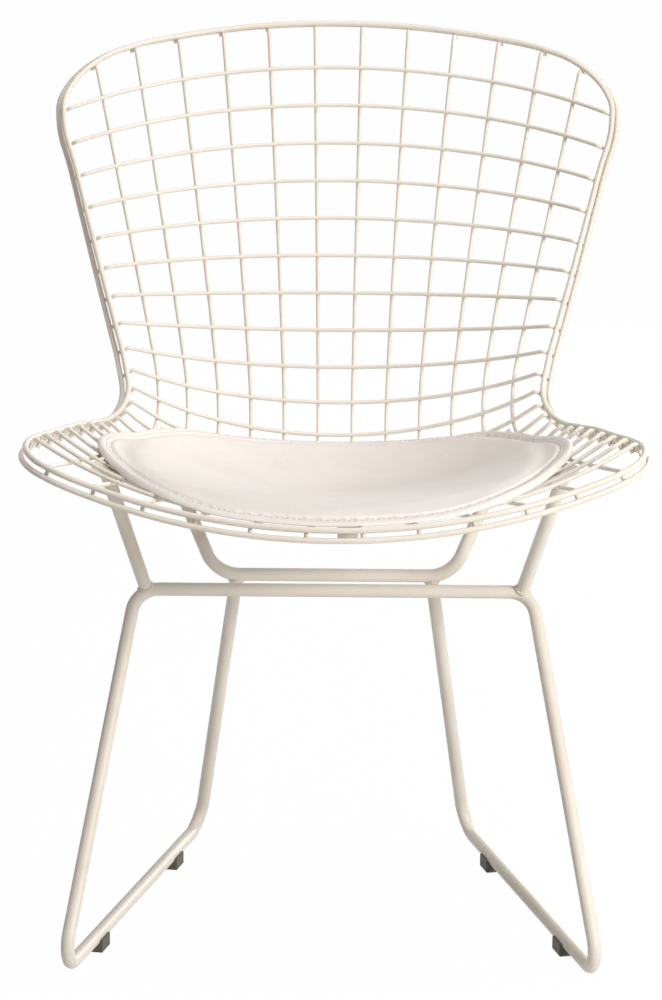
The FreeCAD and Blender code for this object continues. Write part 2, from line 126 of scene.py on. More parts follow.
class Finish(Nodes):
    """A material under construction: one Principled shader and the nodes that feed it."""

    def __init__(self, name):
        self.material = bpy.data.materials.new(name)
        self.material.use_nodes = True
        super().__init__(self.material.node_tree)
        self.place = self.add("ShaderNodeTexCoord", {}, {}, "Object")

    def set(self, **inputs):
        """Feeds the shader. An input's name has underscores for its spaces."""
        shader = self.tree.nodes["Principled BSDF"]
        self.fill(shader, {name.replace("_", " "): value for name, value in inputs.items()})

    def noise(self, scale, detail=2.0, roughness=0.5, place=None):
        inputs = {"Vector": place or self.place, "Scale": scale, "Detail": detail, "Roughness": roughness}
        return self.add("ShaderNodeTexNoise", {}, inputs, "Fac")

    def mix(self, factor, first, second):
        """Blend of two colours, which are a Mix node's inputs 6 and 7."""
        return self.add("ShaderNodeMix", {"data_type": "RGBA"}, {0: factor, 6: first, 7: second}, 2)

    def relief(self, height, strength, distance):
        inputs = {"Height": height, "Strength": strength, "Distance": distance}
        self.set(Normal=self.add("ShaderNodeBump", {}, inputs))


def opaque(colour):
    return (*colour, 1.0)


def shaded(colour, factor):
    return tuple(channel * factor for channel in colour)


# Finishes

def coating(name, colour, yellowing, peel):
    """Sprayed coating on steel: a slightly uneven tone, faint orange peel and a little handling dirt."""
    finish = Finish(name)
    drift = finish.noise(9.0, 3.0)
    tone = finish.mix(((drift - 0.42) * 3.0).clamped(), opaque(colour), opaque(yellowing))
    dirt = finish.noise(60.0, 6.0, 0.65)
    patches = finish.noise(14.0, 2.0)
    grime = ((dirt - 0.56) * 5.0).clamped() * ((patches - 0.5) * 4.0).clamped() * 0.35
    finish.set(Base_Color=finish.mix(grime, tone, opaque(shaded(yellowing, 0.55))))
    finish.set(Roughness=0.42 + drift * 0.1 + grime * 0.3)
    finish.set(Coat_Roughness=0.25, IOR=1.5)
    finish.relief(finish.noise(peel, 2.0), 0.12, 0.00025)
    return finish.material


def moulded_plastic(name, colour):
    """Dark moulded plastic with an eroded texture, paler where it is scuffed."""
    finish = Finish(name)
    erosion = finish.noise(2600.0, 2.0)
    scuff = ((finish.noise(180.0, 5.0, 0.7) - 0.55) * 6.0).clamped() * 0.35
    finish.set(Base_Color=finish.mix(scuff, opaque(colour), opaque(shaded(colour, 2.4))))
    finish.set(Roughness=0.5 + erosion * 0.2)
    finish.relief(erosion, 0.35, 0.0002)
    return finish.material


def bare_steel(name, colour, roughness):
    """Turned or pressed steel with fine streaks."""
    finish = Finish(name)
    stretched = finish.add("ShaderNodeMapping", {}, {"Vector": finish.place, "Scale": (1.0, 1.0, 0.08)})
    streaks = finish.noise(900.0, 3.0, place=stretched)
    finish.set(Base_Color=finish.mix(streaks, opaque(shaded(colour, 0.8)), opaque(colour)))
    finish.set(Roughness=roughness + streaks * 0.15)
    finish.set(Metallic=1.0)
    finish.relief(streaks, 0.12, 0.0001)
    return finish.material


def cover_leather(name, colour, shade, grain_scale):
    """Soft coated leathercloth: pebbled grain, creases darkened by painted shade, and a cloudy tone."""
    finish = Finish(name)
    clouds = finish.noise(11.0, 4.0, 0.6)
    fine_clouds = finish.noise(60.0, 3.0)
    cloudy = ((clouds * 0.7 + fine_clouds * 0.3 - 0.4) * 3.0).clamped()
    tone = finish.mix(cloudy, opaque(colour), opaque(shade))
    pebbles = finish.add("ShaderNodeTexVoronoi", {"feature": "SMOOTH_F1"},
                         {"Vector": finish.place, "Scale": grain_scale, "Smoothness": 0.4}, "Distance")
    pores = finish.noise(grain_scale * 2.2, 3.0, 0.6)
    folds = finish.noise(38.0, 3.0, 0.55)
    crease = (1 - ((folds - 0.5).math("ABSOLUTE") * 26.0).clamped()) * 0.5
    # Painted shade: the colour is darkened along the pressed-in creases, where shade would fall; the pebbles
    # are darkened a little as grain tone
    finish.set(Base_Color=finish.mix(crease * 0.12 + (1 - pebbles).clamped() * 0.05, tone,
                                     opaque(shaded(shade, 0.72))))
    finish.set(Roughness=0.52 + pores * 0.14 - crease * 0.05)
    finish.relief(pebbles * -0.5 + pores * 0.35 - crease * 0.4, 0.35, 0.0005)
    return finish.material


def thread(name, colour):
    """Twisted cotton thread."""
    finish = Finish(name)
    twist = finish.noise(3200.0, 1.0)
    finish.set(Base_Color=finish.mix(twist, opaque(shaded(colour, 0.78)), opaque(colour)))
    finish.set(Roughness=0.6 + twist * 0.2)
    finish.relief(twist, 0.4, 0.0001)
    return finish.material


# Values that a user would change

def colour_property(name, description, default):
    return FloatVectorProperty(name=name, description=description, subtype="COLOR", size=3,
                               min=0.0, max=1.0, default=default)


def length_property(name, description, default):
    return FloatProperty(name=name, description=description, unit="LENGTH", default=default * MM, min=0.0)


class ChairFinishes(bpy.types.PropertyGroup):
    coating: colour_property("Coating", "Colour of the coated wires and rods", (0.80, 0.745, 0.665))
    coating_warm: colour_property("Coating, aged", "Tone that the coating drifts to", (0.74, 0.67, 0.57))
    cover: colour_property("Cover", "Colour of the pad's cover", (0.86, 0.81, 0.77))
    cover_shade: colour_property("Cover, shaded", "Tone that the cover drifts to", (0.80, 0.735, 0.69))
    strap: colour_property("Straps", "Colour of the pad's straps", (0.72, 0.64, 0.55))
    glide: colour_property("Glides", "Colour of the plastic glides", (0.088, 0.070, 0.055))
    steel: colour_property("Steel", "Colour of screws and studs", (0.62, 0.60, 0.57))
    thread: colour_property("Thread", "Colour of the stitching", (0.70, 0.64, 0.58))


class SeatPadSizes(bpy.types.PropertyGroup):
    rings: IntProperty(name="Rings", description="Rings of faces from the pad's border to its middle",
                       default=48, min=20, max=80)
    pressure: FloatProperty(name="Pressure", description="Pressure of the filling", default=4.0, min=0.0)
    swell: length_property("Swell", "Most that a point moves while filling", 3.2)
    flange: length_property("Flange", "Width of the sewn border outside the seam", 10.0)
    seam_depth: length_property("Seam depth", "Depth of the pinched seam", 1.7)
    seam_width: length_property("Seam width", "Half width of the pinched seam", 1.7)
    topstitch: length_property("Topstitch", "Distance of the second row of stitches from the seam", 3.6)
    stitch_pitch: length_property("Stitch pitch", "Distance between stitches", 4.6)
    stitch_length: length_property("Stitch length", "Length of one stitch", 3.3)
    thread_width: length_property("Thread", "Diameter of the thread", 0.7)


class StrapSizes(bpy.types.PropertyGroup):
    edge: length_property("Edge", "Rounding of the straps' edges", 0.35)
    stitch_inset: length_property("Stitch inset", "Distance of the stitches from a strap's edge", 2.4)
    stitch_pitch: length_property("Stitch pitch", "Distance between stitches", 3.8)
    stitch_length: length_property("Stitch length", "Length of one stitch", 2.6)
    thread_width: length_property("Thread", "Diameter of the thread", 0.6)


class WeldSizes(bpy.types.PropertyGroup):
    rod: length_property("Rod", "Radius of the base's rods", 6.0)
    bead: length_property("Bead", "Radius of a weld bead", 1.5)
    ripple: FloatProperty(name="Ripple", description="Unevenness of a bead", default=0.16, min=0.0, max=0.5)
    rings: IntProperty(name="Rings", description="Rings round a bead", default=44, min=12, max=90)


class StudioSettings(bpy.types.PropertyGroup):
    distance: FloatProperty(name="Distance", description="Camera's distance in front of the origin",
                            unit="LENGTH", default=3.2501, min=0.5)
    height: FloatProperty(name="Height", description="Camera's height above the floor", unit="LENGTH",
                          default=1.1154, min=0.0)
    pitch: FloatProperty(name="Pitch", description="How far the camera looks down", subtype="ANGLE",
                         default=0.2202)
    yaw: FloatProperty(name="Yaw", description="How far the camera looks to the left", subtype="ANGLE",
                       default=0.00105)
    roll: FloatProperty(name="Roll", description="How far the camera leans to the left", subtype="ANGLE",
                        default=0.0082)
    lens: FloatProperty(name="Lens", description="Focal length on a 36 mm frame", default=133.77, min=10.0)
    key: FloatProperty(name="Key light", description="Light of the main lamp at the chair", default=0.70,
                       min=0.0, max=2.0)
    overhead: FloatProperty(name="Overhead light", description="Light of the overhead lamp at the chair",
                            default=0.45, min=0.0, max=2.0)
    behind: FloatProperty(name="Light behind", description="Light of the lamp behind the chair",
                          default=0.36, min=0.0, max=2.0)
    ambient: FloatProperty(name="Ambient", description="Strength of the even light around", default=0.22,
                           min=0.0, max=2.0)
    floor_white: FloatProperty(name="Floor white", description="Share of plain white in the floor as seen",
                               default=0.985, min=0.0, max=1.0)


# Pieces

# Furthest that two points of a CAD node may lie apart and still be one
MERGE_DISTANCE = 0.01 * MM


def add_piece(name, shape, material):
    """Turns a bmesh into a smooth object that rides on the chair."""
    mesh = bpy.data.meshes.new(name)
    shape.to_mesh(mesh)
    shape.free()
    mesh.shade_smooth()
    piece = bpy.data.objects.new(name, mesh)
    bpy.context.collection.objects.link(piece)
    mesh.materials.append(material)
    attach(piece, "root")
    return piece


def node_names(*starts):
    """Names of the CAD nodes that begin in one of these ways."""
    return [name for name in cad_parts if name.startswith(starts)]


def coat_node(name, material):
    """Gives a CAD node its only material."""
    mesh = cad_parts[name].data
    mesh.materials.clear()
    mesh.materials.append(material)


def merged_copy(node):
    """Copy of a CAD node as a bmesh, with doubles merged. Its faces already point outwards."""
    shape = bmesh.new()
    shape.from_mesh(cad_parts[node].data)
    bmesh.ops.remove_doubles(shape, verts=shape.verts, dist=MERGE_DISTANCE)
    return shape


def only(kind, geometry):
    """The items of one kind among an operator's results."""
    return [item for item in geometry if isinstance(item, kind)]


def relax(shape, verts, rounds):
    """Draws each vertex halfway to the middle of its neighbours, round after round."""
    for _ in range(rounds):
        bmesh.ops.smooth_vert(shape, verts=verts, factor=0.5,
                              use_axis_x=True, use_axis_y=True, use_axis_z=True)


def smooth_patch(shape, seed, crease_angle):
    """Faces reached from a seed face without crossing a crease."""
    found = {seed}
    waiting = [seed]
    while waiting:
        face = waiting.pop()
        for edge in face.edges:
            if len(edge.link_faces) != 2 or edge.calc_face_angle(0.0) > crease_angle:
                continue
            for other in edge.link_faces:
                if other not in found:
                    found.add(other)
                    waiting.append(other)
    return found


def border_loops(faces):
    """Lines of points round the border of a patch of faces, the longest first."""
    edges = dict.fromkeys(edge for face in faces for edge in face.edges
                          if sum(other in faces for other in edge.link_faces) == 1)
    loops = []
    while edges:
        edge = next(iter(edges))
        loop = []
        vert = edge.verts[0]
        while edge is not None:
            del edges[edge]
            loop.append(vert.co.copy())
            vert = edge.other_vert(vert)
            edge = next((other for other in vert.link_edges if other in edges), None)
        loops.append(loop)
    return sorted(loops, key=line_length, reverse=True)


def line_length(points):
    """Length of a closed line."""
    return sum((second - first).length for first, second in zip(points, points[1:] + points[:1]))


def middle_of(points):
    """Mean of a line's points."""
    return sum(points, Vector()) / len(points)


def even_loop(points, count):
    """Closed line through points, divided into equal steps."""
    closed = points + [points[0]]
    lengths = [0.0]
    for first, second in zip(closed, closed[1:]):
        lengths.append(lengths[-1] + (second - first).length)
    even = []
    index = 0
    for step in range(count):
        distance = lengths[-1] * step / count
        while lengths[index + 1] < distance:
            index += 1
        share = (distance - lengths[index]) / (lengths[index + 1] - lengths[index])
        even.append(closed[index].lerp(closed[index + 1], share))
    return even


def smoothed_loop(points, rounds):
    """Closed line whose points have been drawn towards their neighbours."""
    for _ in range(rounds):
        points = [(points[index - 1] + point * 2 + points[(index + 1) % len(points)]) / 4
                  for index, point in enumerate(points)]
    return points


def tangents_of(loop):
    """Direction of a closed line at each of its points."""
    return [(loop[(index + 1) % len(loop)] - loop[index - 1]).normalized() for index in range(len(loop))]


def at_share(loop, share):
    """Point of an even closed line, at a share of its length."""
    place = (share % 1.0) * len(loop)
    index = int(place)
    return loop[index % len(loop)].lerp(loop[(index + 1) % len(loop)], place - index)


def surface_of(piece):
    """Tree that finds places on a piece's surface."""
    graph = bpy.context.evaluated_depsgraph_get()
    return BVHTree.FromObject(piece, graph)


def laid_on(surface, points):
    """Nearest places on a surface and their normals."""
    found = [surface.find_nearest(point) for point in points]
    return [hit[0] for hit in found], [hit[1] for hit in found]


def closed_tube(shape, centres, frames, radii, segments):
    """Closed tube of bridged rings. A frame is the pair of directions that a ring lies in."""
    rings = []
    for centre, (first, second), radius in zip(centres, frames, radii):
        matrix = Matrix((first, second, first.cross(second))).transposed().to_4x4()
        matrix.translation = centre
        made = bmesh.ops.create_circle(shape, cap_ends=False, segments=segments, radius=radius,
                                       matrix=matrix)
        verts = set(made["verts"])
        rings.append(list(dict.fromkeys(edge for vert in made["verts"] for edge in vert.link_edges
                                        if edge.other_vert(vert) in verts)))
    for first, second in zip(rings, rings[1:] + rings[:1]):
        bmesh.ops.bridge_loops(shape, edges=first + second)


# Wires, rods and fittings

class CHAIR_OT_coat_wires(bpy.types.Operator):
    """Coat the mesh wires, the rims and the base rods"""
    bl_idname = "chair.coat_wires"
    bl_label = "Coat wires and rods"

    def execute(self, context):
        colours = context.scene.chair_finishes
        wire = coating("Coated wire", colours.coating, colours.coating_warm, 900.0)
        rod = coating("Coated rod", colours.coating, colours.coating_warm, 420.0)
        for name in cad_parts:
            if "_wire_" in name or name.endswith("_rim"):
                coat_node(name, wire)
        for name in node_names("sled_frame", "rear_yoke", "front_post", "saddle_", "clamp_plate_"):
            coat_node(name, rod)
        return {"FINISHED"}


class CHAIR_OT_finish_fittings(bpy.types.Operator):
    """Finish the glides, the screws and the press studs"""
    bl_idname = "chair.finish_fittings"
    bl_label = "Finish fittings"

    def execute(self, context):
        colours = context.scene.chair_finishes
        plastic = moulded_plastic("Glide plastic", colours.glide)
        for name in node_names("glide_"):
            coat_node(name, plastic)
        coat_node("clamp_screws", bare_steel("Screw steel", colours.steel, 0.35))
        coat_node("strap_studs", bare_steel("Stud steel", colours.steel, 0.18))
        return {"FINISHED"}


# Welds

# Welds of the right side, in millimetres: a bead's name, the piece that the rod meets, a point on the rod's
# middle line and the line's end in that piece. The left side mirrors them.
WELDS = (
    ("post_foot", "sled_frame", (178.0, -51.7, 352.0), (168.0, -22.6, 310.0)),
    ("leg_top", "rear_yoke", (93.9, 60.9, 270.2), (88.5, 35.4, 310.0)),
    ("post_top", "saddle_front_right", (191.9, -92.2, 410.4), (198.0, -110.0, 436.2)),
    ("yoke_top", "saddle_rear_right", (139.5, 45.0, 385.0), (152.3, 48.8, 415.1)),
)


# How far a bead's middle runs off the rod, the gap to the other piece at which it lies, the shortest step
# towards that place, and the sides of a bead
BEAD_LIFT = 0.3 * MM
BEAD_GAP = 0.8 * MM
SHORTEST_STEP = 0.2 * MM
BEAD_SIDES = 8


def bead_path(start, end, radius, target, rings):
    """Places round a rod where it meets another piece, with the directions that a bead's rings lie in."""
    axis = (end - start).normalized()
    first = axis.orthogonal().normalized()
    second = axis.cross(first)
    centres = []
    frames = []
    for index in range(rings):
        angle = 2 * math.pi * index / rings
        outward = first * math.cos(angle) + second * math.sin(angle)
        point = start + outward * (radius + BEAD_LIFT)
        while (point - start).dot(axis) < (end - start).length:
            gap = target.find_nearest(point)[3]
            if gap < BEAD_GAP:
                break
            point = point + axis * max(SHORTEST_STEP, gap / 2)
        centres.append(point)
        frames.append((outward, axis))
    return smoothed_loop(centres, 2), frames


def bead_radius(sizes, index):
    """Radius at one ring of a bead, uneven in two rhythms as a hand-laid weld is."""
    unevenness = math.sin(index * 1.9) + 0.6 * math.sin(index * 0.7)
    return sizes.bead * (1 + sizes.ripple * unevenness)


class CHAIR_OT_weld_beads(bpy.types.Operator):
    """Lay a bead of weld where each rod of the base ends on another piece"""
    bl_idname = "chair.weld_beads"
    bl_label = "Lay weld beads"

    def execute(self, context):
        sizes = context.scene.chair_welds
        colours = context.scene.chair_finishes
        painted = coating("Coated weld", shaded(colours.coating, 0.93),
                          shaded(colours.coating_warm, 0.9), 300.0)
        for name, target, start, end in WELDS:
            surface = surface_of(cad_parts[target])
            centres, frames = bead_path(Vector(start) * MM, Vector(end) * MM, sizes.rod, surface,
                                        sizes.rings)
            radii = [bead_radius(sizes, index) for index in range(sizes.rings)]
            shape = bmesh.new()
            closed_tube(shape, centres, frames, radii, BEAD_SIDES)
            twin = bmesh.ops.duplicate(shape, geom=shape.verts[:] + shape.edges[:] + shape.faces[:])["geom"]
            bmesh.ops.scale(shape, vec=(-1.0, 1.0, 1.0), verts=only(bmesh.types.BMVert, twin))
            bmesh.ops.recalc_face_normals(shape, faces=shape.faces)
            add_piece("weld_beads_" + name, shape, painted)
        return {"FINISHED"}


# Stitching

# A stitch's height and how far its middle stands off the surface, as shares of the thread's width
STITCH_FLATNESS = 0.8
STITCH_STAND = 0.18
FEWEST_STITCHES = 8


def stitches(name, rows, sizes, material):
    """Rows of sunken thread stitches. A row is a closed path on a surface and the path's normals."""
    length = sizes.stitch_length
    width = sizes.thread_width
    master = bmesh.new()
    bmesh.ops.create_icosphere(master, subdivisions=1, radius=0.5)
    bmesh.ops.scale(master, vec=(length, width, width * STITCH_FLATNESS), verts=master.verts)
    stitch_mesh = bpy.data.meshes.new(name + "_one")
    master.to_mesh(stitch_mesh)
    master.free()
    shape = bmesh.new()
    for path, normals in rows:
        count = max(FEWEST_STITCHES, round(line_length(path) / sizes.stitch_pitch))
        for index in range(count):
            at = int(index * len(path) / count)
            tangent = (path[(at + 2) % len(path)] - path[at - 2]).normalized()
            side = normals[at].cross(tangent).normalized()
            up = tangent.cross(side)
            matrix = Matrix((tangent, side, up)).transposed().to_4x4()
            matrix.translation = path[at] + up * (width * STITCH_STAND)
            before = len(shape.verts)
            shape.from_mesh(stitch_mesh)
            shape.verts.ensure_lookup_table()
            bmesh.ops.transform(shape, matrix=matrix, verts=shape.verts[before:])
    bpy.data.meshes.remove(stitch_mesh)
    return add_piece(name, shape, material)


# Seat pad

# Rings of the sewn border, as shares of the flange's width inside the pad's edge. The first runs round the
# edge halfway down, and the seam lies on the one that its number names.
FLANGE_STEPS = (-0.05, 0.05, 0.22, 0.46, 0.70, 0.87, 1.0, 1.13, 1.36, 1.72)
SEAM_RING = 6

# Height of the line that the seat's wires curve round, and thickness of the pad's border
SEAT_AXIS_HEIGHT = 0.72
BORDER_THICKNESS = 5.0 * MM

# How far a ray goes on inside the pad before it looks for the way out
RAY_STEP = 0.3 * MM

# Points of the pad's outline, the angle across and the length along y that it surely lies within, and how
# many halvings find its edge there
OUTLINE_POINTS = 720
WIDEST_ANGLE = 1.2
LONGEST_REACH = 0.35
HALVINGS = 18

# Rounds of smoothing of the outline, of the grid inside the border, of the filled panel and of the second row
OUTLINE_SMOOTHING = 20
GRID_SMOOTHING = 60
PANEL_SMOOTHING = 2
TOPSTITCH_SMOOTHING = 8

# Frames that the filling is given to swell
FILL_FRAMES = 20

# Depth and width of the pinch under the second row of stitches, as shares of the seam's
TOPSTITCH_DEPTH = 0.35
TOPSTITCH_WIDTH = 0.8

# How much the two rows' depths vary, the distance between puckers, and how the puckers fall out of step
SEAM_PUCKER = 0.25
TOPSTITCH_PUCKER = 0.2
PUCKER_PITCH = 11.0 * MM
PUCKER_DRIFT = 1.7
PUCKER_DRIFT_RATE = 0.05


def from_axis(solid, place):
    """Line from the seat's axis through a place: its direction, and where it enters and leaves the pad."""
    origin = Vector((0.0, place.y, SEAT_AXIS_HEIGHT))
    away = (place - origin).normalized()
    high = solid.ray_cast(origin, away)[0]
    if high is None:
        return away, None, None
    return away, high, solid.ray_cast(high + away * RAY_STEP, away)[0]


def on_pad(surface, points):
    """Places on the pad's upper side, straight away from the seat's axis, and their normals."""
    places = [from_axis(surface, point)[1] or point for point in points]
    return laid_on(surface, places)


def pad_outline(solid):
    """Even loop of points round the upper edge of the CAD pad, from its front middle to the right."""
    low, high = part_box("seat_pad")
    middle = (low.y + high.y) / 2
    loop = []
    for index in range(OUTLINE_POINTS):
        turn = 2 * math.pi * index / OUTLINE_POINTS - math.pi / 2
        inside = 0.0
        outside = 1.0
        for _ in range(HALVINGS):
            share = (inside + outside) / 2
            angle = WIDEST_ANGLE * share * math.cos(turn)
            y = middle + LONGEST_REACH * share * math.sin(turn)
            place = Vector((math.sin(angle), y, SEAT_AXIS_HEIGHT - math.cos(angle)))
            hit = from_axis(solid, place)[1]
            if hit is None:
                outside = share
            else:
                inside = share
                edge = hit
        loop.append(edge)
    return smoothed_loop(even_loop(loop, OUTLINE_POINTS), OUTLINE_SMOOTHING)


def inward_directions(outline, solid):
    """Direction along the pad's surface, square to its edge and inward, at each point of the outline."""
    middle = middle_of(outline)
    directions = []
    for point, tangent in zip(outline, tangents_of(outline)):
        across = from_axis(solid, point)[0].cross(tangent).normalized()
        directions.append(across if across.dot(middle - point) > 0 else -across)
    return [direction.normalized() for direction in smoothed_loop(directions, OUTLINE_SMOOTHING)]


def ring_place(x, y):
    """Which ring of a square grid a point is on, from 0 in the middle to 1, and its place round the ring.

    The place is a share of a turn from the front middle to the right.
    """
    ring = max(abs(x), abs(y))
    if ring < 1e-6:
        return 0.0, 0.0
    across = x / ring
    along = y / ring
    nearly = 0.9999
    if along < -nearly:
        return ring, across / 8
    if across > nearly:
        return ring, 0.25 + along / 8
    if along > nearly:
        return ring, 0.5 - across / 8
    return ring, 0.75 - along / 8


def pad_skin(loops, solid, rings):
    """Closed skin of the pad, of a grid bent into rings inside the loops. Also the verts that may swell."""
    shape = bmesh.new()
    ring_of = shape.verts.layers.int.new("ring")
    bmesh.ops.create_grid(shape, x_segments=2 * rings, y_segments=2 * rings, size=1.0)
    middle = middle_of(loops[-1])
    inner = []
    for vert in shape.verts:
        radius, turn = ring_place(vert.co.x, vert.co.y)
        ring = rings - round(radius * rings)
        vert[ring_of] = ring
        if ring < len(loops):
            vert.co = at_share(loops[ring], turn)
        else:
            reach = (rings - ring) / (rings - len(loops) + 1)
            vert.co = middle.lerp(at_share(loops[-1], turn), reach)
            inner.append(vert)
    relax(shape, inner, GRID_SMOOTHING)

    copy = bmesh.ops.duplicate(shape, geom=shape.faces[:])["geom"]
    bmesh.ops.reverse_faces(shape, faces=only(bmesh.types.BMFace, copy))
    underside = set(only(bmesh.types.BMVert, copy))
    for vert in shape.verts:
        away, high, low = from_axis(solid, vert.co)
        if high is None or vert[ring_of] == 0:
            high = vert.co.copy()
            low = None
        if low is None:
            low = high + away * BORDER_THICKNESS
        if vert[ring_of] == 0:
            vert.co = high.lerp(low, 0.5)
        else:
            vert.co = low if vert in underside else high
    bmesh.ops.remove_doubles(shape, verts=shape.verts, dist=2 * MERGE_DISTANCE)
    bmesh.ops.recalc_face_normals(shape, faces=shape.faces)
    shape.verts.index_update()
    swelling = {vert.index for vert in shape.verts if vert not in underside and vert[ring_of] > SEAM_RING}
    shape.verts.layers.int.remove(shape.verts.layers.int["ring"])
    return shape, swelling


def apply_modifiers(piece):
    """Makes what a piece's modifiers show its own mesh."""
    graph = bpy.context.evaluated_depsgraph_get()
    applied = bpy.data.meshes.new_from_object(piece.evaluated_get(graph), depsgraph=graph)
    old = piece.data
    piece.modifiers.clear()
    piece.data = applied
    bpy.data.meshes.remove(old)


def fill_pad(piece, swelling, pressure, swell):
    """Cloth under pressure, with the sewn border and the underside held, and the swelling capped."""
    mesh = piece.data
    rest = [vert.co.copy() for vert in mesh.vertices]
    held = piece.vertex_groups.new(name="held")
    held.add([index for index in range(len(rest)) if index not in swelling], 1.0, "REPLACE")
    cloth = piece.modifiers.new("Filling", "CLOTH")
    settings = cloth.settings
    settings.quality = 6
    settings.mass = 0.25
    settings.tension_stiffness = 25.0
    settings.compression_stiffness = 25.0
    settings.bending_stiffness = 1.5
    settings.use_pressure = True
    settings.uniform_pressure_force = pressure
    settings.vertex_group_mass = held.name
    settings.effector_weights.gravity = 0.0
    scene = bpy.context.scene
    for number in range(1, FILL_FRAMES + 1):
        scene.frame_set(number)
    graph = bpy.context.evaluated_depsgraph_get()
    filled = piece.evaluated_get(graph).to_mesh()
    moved = [vert.co.copy() for vert in filled.vertices]
    piece.modifiers.remove(cloth)
    piece.vertex_groups.remove(held)
    for vert, start, end in zip(mesh.vertices, rest, moved):
        step = end - start
        if step.length > swell:
            step.length = swell
        vert.co = start + step
    scene.frame_set(1)


def smooth_some(piece, indices, rounds):
    """Smooths a piece at the vertices with these indices."""
    shape = bmesh.new()
    shape.from_mesh(piece.data)
    relax(shape, [vert for vert in shape.verts if vert.index in indices], rounds)
    shape.to_mesh(piece.data)
    shape.free()


def pinch(piece, line, depth, width, pucker):
    """Presses the surface in along a line, as a row of stitching does, deeper and shallower by turns."""
    tree = KDTree(len(line))
    for index, point in enumerate(line):
        tree.insert(point, index)
    tree.balance()
    waves = round(line_length(line) / PUCKER_PITCH)
    pressed = []
    for vert in piece.data.vertices:
        _, index, distance = tree.find(vert.co)
        if distance < width * 3:
            phase = 2 * math.pi * waves * index / len(line)
            wave = math.sin(phase + PUCKER_DRIFT * math.sin(index * PUCKER_DRIFT_RATE))
            push = depth * (1 + pucker * wave) * math.exp(-(distance / width) ** 2)
            pressed.append((vert.index, vert.co - vert.normal * push))
    for index, place in pressed:
        piece.data.vertices[index].co = place


class CHAIR_OT_seat_pad(bpy.types.Operator):
    """Make the filled seat pad with its sewn border, pinched seam and stitching"""
    bl_idname = "chair.seat_pad"
    bl_label = "Make seat pad"

    def execute(self, context):
        sizes = context.scene.chair_pad
        colours = context.scene.chair_finishes
        cover = cover_leather("Pad cover", colours.cover, colours.cover_shade, 620.0)
        solid = surface_of(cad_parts["seat_pad"])
        outline = pad_outline(solid)
        inward = inward_directions(outline, solid)

        loops = []
        for step in FLANGE_STEPS:
            loop = [point + direction * (sizes.flange * step) for point, direction in zip(outline, inward)]
            loops.append(smoothed_loop(loop, 4 * len(loops)))
        shape, swelling = pad_skin(loops, solid, sizes.rings)
        pad = add_piece("seat_cushion", shape, cover)
        fill_pad(pad, swelling, sizes.pressure, sizes.swell)
        smooth_some(pad, swelling, PANEL_SMOOTHING)
        division = pad.modifiers.new("Subdivision", "SUBSURF")
        division.levels = 1
        division.render_levels = 1
        apply_modifiers(pad)

        surface = surface_of(pad)
        seam = on_pad(surface, loops[SEAM_RING])[0]
        second = [point - direction * sizes.topstitch for point, direction in zip(seam, inward)]
        second = on_pad(surface, smoothed_loop(second, TOPSTITCH_SMOOTHING))[0]
        pinch(pad, seam, sizes.seam_depth, sizes.seam_width, SEAM_PUCKER)
        pinch(pad, second, sizes.seam_depth * TOPSTITCH_DEPTH, sizes.seam_width * TOPSTITCH_WIDTH,
              TOPSTITCH_PUCKER)
        pad.data.shade_smooth()
        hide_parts("seat_pad")

        surface = surface_of(pad)
        rows = [on_pad(surface, line) for line in (seam, second)]
        stitches("seat_cushion_stitches", rows, sizes, thread("Pad thread", colours.thread))
        return {"FINISHED"}


# Straps

# A strap's face stays one patch up to the first angle, and an edge sharper than the second is rounded
PATCH_ANGLE = math.radians(32)
RIDGE_ANGLE = math.radians(50)

# Points along each row of a strap's stitches
STRAP_POINTS = 240


class CHAIR_OT_straps(bpy.types.Operator):
    """Make the pad's straps with rounded edges and stitching"""
    bl_idname = "chair.straps"
    bl_label = "Make straps"

    def execute(self, context):
        sizes = context.scene.chair_straps
        colours = context.scene.chair_finishes
        leather = cover_leather("Strap leather", colours.strap, shaded(colours.strap, 0.88), 700.0)
        cotton = thread("Strap thread", colours.thread)
        for name in node_names("pad_strap_"):
            shape = merged_copy(name)
            centre = middle_of([vert.co for vert in shape.verts])
            outermost = max(shape.faces,
                            key=lambda face: face.normal.dot(face.calc_center_median() - centre))
            edges = border_loops(smooth_patch(shape, outermost, PATCH_ANGLE))
            ridge = [edge for edge in shape.edges if edge.calc_face_angle(0.0) > RIDGE_ANGLE]
            bmesh.ops.bevel(shape, geom=ridge, offset=sizes.edge, offset_type="OFFSET", segments=2,
                            profile=0.5, affect="EDGES", material=-1)
            strap = add_piece(name.replace("pad_strap", "strap_band"), shape, leather)
            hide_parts(name)
            surface = surface_of(strap)
            across = (middle_of(edges[1]) - middle_of(edges[0])).normalized() * sizes.stitch_inset
            rows = [laid_on(surface, [point + across for point in even_loop(edges[0], STRAP_POINTS)]),
                    laid_on(surface, [point - across for point in even_loop(edges[1], STRAP_POINTS)])]
            stitches(strap.name + "_stitches", rows, sizes, cotton)
        return {"FINISHED"}


# Studio

# Each lamp's place and width. Its light is one of the settings, under the same name.
LAMPS = {
    "key": (Vector((2.1, -2.1, 1.4)), 0.9),
    "overhead": (Vector((0.3, -0.3, 3.2)), 1.6),
    "behind": (Vector((1.3, 2.9, 0.8)), 1.4),
}
LIT_PLACE = Vector((0.0, 0.0, 0.42))
AMBIENT_COLOUR = (1.0, 0.94, 0.88)
FLOOR_HALF_WIDTH = 14.0
FLOOR_COLOUR = (0.82, 0.82, 0.81)


def add_lamp(name, place, target, size, share):
    """Round lamp whose light at the target is a share of what shows a colour as it is written."""
    lamp = bpy.data.lights.new(name, "AREA")
    lamp.shape = "DISK"
    lamp.size = size
    lamp.energy = share * (math.pi * (target - place).length) ** 2
    holder = bpy.data.objects.new(name, lamp)
    holder.location = place
    holder.rotation_euler = (target - place).to_track_quat("-Z", "Y").to_euler()
    bpy.context.collection.objects.link(holder)


